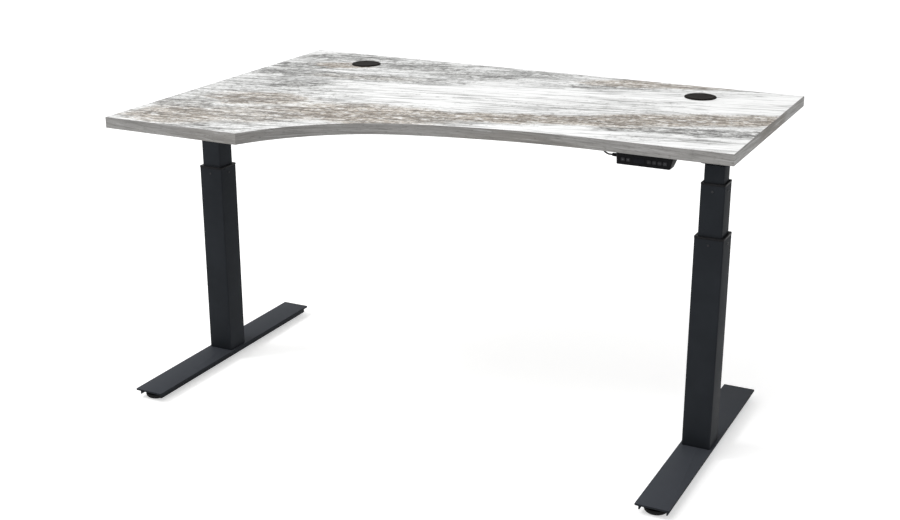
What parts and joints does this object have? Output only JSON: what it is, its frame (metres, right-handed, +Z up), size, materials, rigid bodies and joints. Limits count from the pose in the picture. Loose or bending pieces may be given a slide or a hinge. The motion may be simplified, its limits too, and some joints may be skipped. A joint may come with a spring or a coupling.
{
  "type": "height adjustable standing desk",
  "caption": "Electric sit-stand desk: extended-corner wood laminate desktop with a left wing on square telescopic columns, flat feet, cable grommets and a handset under the front edge.",
  "frame": {"origin": "on the floor, under the centre of the desktop's rectangular outline", "axes": "+X to the sitter's right along the width, +Y towards the back edge, +Z up"},
  "size_m": [1.524, 1.032, 0.7854],
  "materials": {
    "left_foot_plate": "charcoal satin powder coat",
    "left_foot_channel": "charcoal satin powder coat",
    "left_front_glide": "black levelling glide",
    "left_back_glide": "black levelling glide",
    "left_outer_tube": "charcoal satin powder coat",
    "left_outer_collar": "black nylon guide",
    "left_spindle_support": "bright turned steel",
    "left_lower_nut": "machined bronze nut",
    "left_mid_tube": "charcoal satin powder coat",
    "left_mid_collar": "black nylon guide",
    "left_mid_bearing": "bright turned steel",
    "left_upper_nut": "machined bronze nut",
    "left_hollow_spindle": "bright turned steel",
    "left_drive_spindle": "bright turned steel",
    "left_inner_tube": "charcoal satin powder coat",
    "left_gearmotor": "bright turned steel",
    "left_head_plate": "charcoal satin powder coat",
    "left_side_bracket": "charcoal satin powder coat",
    "left_motor_lead": "black cable jacket",
    "left_grommet_sleeve": "black moulded plastic",
    "left_grommet_cap": "black moulded plastic",
    "right_foot_plate": "charcoal satin powder coat",
    "right_foot_channel": "charcoal satin powder coat",
    "right_front_glide": "black levelling glide",
    "right_back_glide": "black levelling glide",
    "right_outer_tube": "charcoal satin powder coat",
    "right_outer_collar": "black nylon guide",
    "right_spindle_support": "bright turned steel",
    "right_lower_nut": "machined bronze nut",
    "right_mid_tube": "charcoal satin powder coat",
    "right_mid_collar": "black nylon guide",
    "right_mid_bearing": "bright turned steel",
    "right_upper_nut": "machined bronze nut",
    "right_hollow_spindle": "bright turned steel",
    "right_drive_spindle": "bright turned steel",
    "right_inner_tube": "charcoal satin powder coat",
    "right_gearmotor": "bright turned steel",
    "right_head_plate": "charcoal satin powder coat",
    "right_side_bracket": "charcoal satin powder coat",
    "right_motor_lead": "black cable jacket",
    "right_grommet_sleeve": "black moulded plastic",
    "right_grommet_cap": "black moulded plastic",
    "front_rail_sleeve": "charcoal satin powder coat",
    "front_rail_slider": "charcoal satin powder coat",
    "back_rail_sleeve": "charcoal satin powder coat",
    "back_rail_slider": "charcoal satin powder coat",
    "control_box": "black moulded plastic",
    "mains_inlet": "black inlet socket",
    "handset_lead": "black cable jacket",
    "handset_body": "black handset shell",
    "button_up": "black key",
    "button_down": "black key",
    "button_memory_1": "black key",
    "button_memory_2": "black key",
    "button_memory_3": "black key",
    "button_memory_set": "black key",
    "handset_display": "dark display window",
    "desktop": "whitewashed distressed wood laminate",
    "edge_band": "grey weathered wood-print edge band"
  },
  "bodies": {
    "base": {"left_foot_plate": "left_foot_plate", "left_foot_channel": "left_foot_channel", "left_outer_tube": "left_outer_tube", "left_outer_collar": "left_outer_collar", "left_spindle_support": "left_spindle_support", "left_lower_nut": "left_lower_nut", "right_foot_plate": "right_foot_plate", "right_foot_channel": "right_foot_channel", "right_outer_tube": "right_outer_tube", "right_outer_collar": "right_outer_collar", "right_spindle_support": "right_spindle_support", "right_lower_nut": "right_lower_nut"},
    "left_mid": {"left_mid_tube": "left_mid_tube", "left_mid_collar": "left_mid_collar", "left_mid_bearing": "left_mid_bearing", "left_upper_nut": "left_upper_nut"},
    "right_mid": {"right_mid_tube": "right_mid_tube", "right_mid_collar": "right_mid_collar", "right_mid_bearing": "right_mid_bearing", "right_upper_nut": "right_upper_nut"},
    "top": {"left_inner_tube": "left_inner_tube", "left_gearmotor": "left_gearmotor", "left_head_plate": "left_head_plate", "left_side_bracket": "left_side_bracket", "left_motor_lead": "left_motor_lead", "left_grommet_sleeve": "left_grommet_sleeve", "right_inner_tube": "right_inner_tube", "right_gearmotor": "right_gearmotor", "right_head_plate": "right_head_plate", "right_side_bracket": "right_side_bracket", "right_motor_lead": "right_motor_lead", "right_grommet_sleeve": "right_grommet_sleeve", "front_rail_sleeve": "front_rail_sleeve", "front_rail_slider": "front_rail_slider", "back_rail_sleeve": "back_rail_sleeve", "back_rail_slider": "back_rail_slider", "control_box": "control_box", "mains_inlet": "mains_inlet", "handset_lead": "handset_lead", "handset_body": "handset_body", "handset_display": "handset_display", "desktop": "desktop", "edge_band": "edge_band"},
    "left_hollow_spindle": {"left_hollow_spindle": "left_hollow_spindle"},
    "left_drive_spindle": {"left_drive_spindle": "left_drive_spindle"},
    "left_grommet_cap": {"left_grommet_cap": "left_grommet_cap"},
    "left_front_glide": {"left_front_glide": "left_front_glide"},
    "left_back_glide": {"left_back_glide": "left_back_glide"},
    "right_hollow_spindle": {"right_hollow_spindle": "right_hollow_spindle"},
    "right_drive_spindle": {"right_drive_spindle": "right_drive_spindle"},
    "right_grommet_cap": {"right_grommet_cap": "right_grommet_cap"},
    "right_front_glide": {"right_front_glide": "right_front_glide"},
    "right_back_glide": {"right_back_glide": "right_back_glide"},
    "button_up": {"button_up": "button_up"},
    "button_down": {"button_down": "button_down"},
    "button_memory_1": {"button_memory_1": "button_memory_1"},
    "button_memory_2": {"button_memory_2": "button_memory_2"},
    "button_memory_3": {"button_memory_3": "button_memory_3"},
    "button_memory_set": {"button_memory_set": "button_memory_set"}
  },
  "joints": [
    {"name": "desktop_lift", "type": "slide", "parent": "base", "child": "top", "axis": [0, 0, 1], "range_m": [-0.07, 0.488]},
    {"name": "left_mid_slide", "type": "slide", "parent": "base", "child": "left_mid", "axis": [0, 0, 1], "range_m": [-0.035, 0.244]},
    {"name": "left_hollow_spindle_turn", "type": "hinge", "parent": "left_mid", "child": "left_hollow_spindle", "pos_m": [-0.71, -0.125, 0.4], "axis": [0, 0, 1], "range_deg": [-1576, 10981]},
    {"name": "left_drive_spindle_turn", "type": "hinge", "parent": "top", "child": "left_drive_spindle", "pos_m": [-0.71, -0.125, 0.4], "axis": [0, 0, 1], "range_deg": [-1576, 10981]},
    {"name": "right_mid_slide", "type": "slide", "parent": "base", "child": "right_mid", "axis": [0, 0, 1], "range_m": [-0.035, 0.244]},
    {"name": "right_hollow_spindle_turn", "type": "hinge", "parent": "right_mid", "child": "right_hollow_spindle", "pos_m": [0.71, -0.125, 0.4], "axis": [0, 0, 1], "range_deg": [-1576, 10981]},
    {"name": "right_drive_spindle_turn", "type": "hinge", "parent": "top", "child": "right_drive_spindle", "pos_m": [0.71, -0.125, 0.4], "axis": [0, 0, 1], "range_deg": [-1576, 10981]},
    {"name": "left_grommet_cap_lift", "type": "slide", "parent": "top", "child": "left_grommet_cap", "axis": [0, 0, 1], "range_m": [0, 0.03]},
    {"name": "left_front_glide_extend", "type": "slide", "parent": "base", "child": "left_front_glide", "axis": [0, 0, -1], "range_m": [0, 0.008]},
    {"name": "left_back_glide_extend", "type": "slide", "parent": "base", "child": "left_back_glide", "axis": [0, 0, -1], "range_m": [0, 0.008]},
    {"name": "right_grommet_cap_lift", "type": "slide", "parent": "top", "child": "right_grommet_cap", "axis": [0, 0, 1], "range_m": [0, 0.03]},
    {"name": "right_front_glide_extend", "type": "slide", "parent": "base", "child": "right_front_glide", "axis": [0, 0, -1], "range_m": [0, 0.008]},
    {"name": "right_back_glide_extend", "type": "slide", "parent": "base", "child": "right_back_glide", "axis": [0, 0, -1], "range_m": [0, 0.008]},
    {"name": "button_up_press", "type": "slide", "parent": "top", "child": "button_up", "axis": [0, 1, 0], "range_m": [0, 0.0012], "stiffness_N_per_m": 400},
    {"name": "button_down_press", "type": "slide", "parent": "top", "child": "button_down", "axis": [0, 1, 0], "range_m": [0, 0.0012], "stiffness_N_per_m": 400},
    {"name": "button_memory_1_press", "type": "slide", "parent": "top", "child": "button_memory_1", "axis": [0, 1, 0], "range_m": [0, 0.0012], "stiffness_N_per_m": 400},
    {"name": "button_memory_2_press", "type": "slide", "parent": "top", "child": "button_memory_2", "axis": [0, 1, 0], "range_m": [0, 0.0012], "stiffness_N_per_m": 400},
    {"name": "button_memory_3_press", "type": "slide", "parent": "top", "child": "button_memory_3", "axis": [0, 1, 0], "range_m": [0, 0.0012], "stiffness_N_per_m": 400},
    {"name": "button_memory_set_press", "type": "slide", "parent": "top", "child": "button_memory_set", "axis": [0, 1, 0], "range_m": [0, 0.0012], "stiffness_N_per_m": 400}
  ],
  "couplings": [
    {"joint": "left_mid_slide", "follows": "desktop_lift", "ratio": 0.5},
    {"joint": "left_hollow_spindle_turn", "follows": "desktop_lift", "rad_per_m": 392.7},
    {"joint": "left_drive_spindle_turn", "follows": "desktop_lift", "rad_per_m": 392.7},
    {"joint": "right_mid_slide", "follows": "desktop_lift", "ratio": 0.5},
    {"joint": "right_hollow_spindle_turn", "follows": "desktop_lift", "rad_per_m": 392.7},
    {"joint": "right_drive_spindle_turn", "follows": "desktop_lift", "rad_per_m": 392.7}
  ]
}
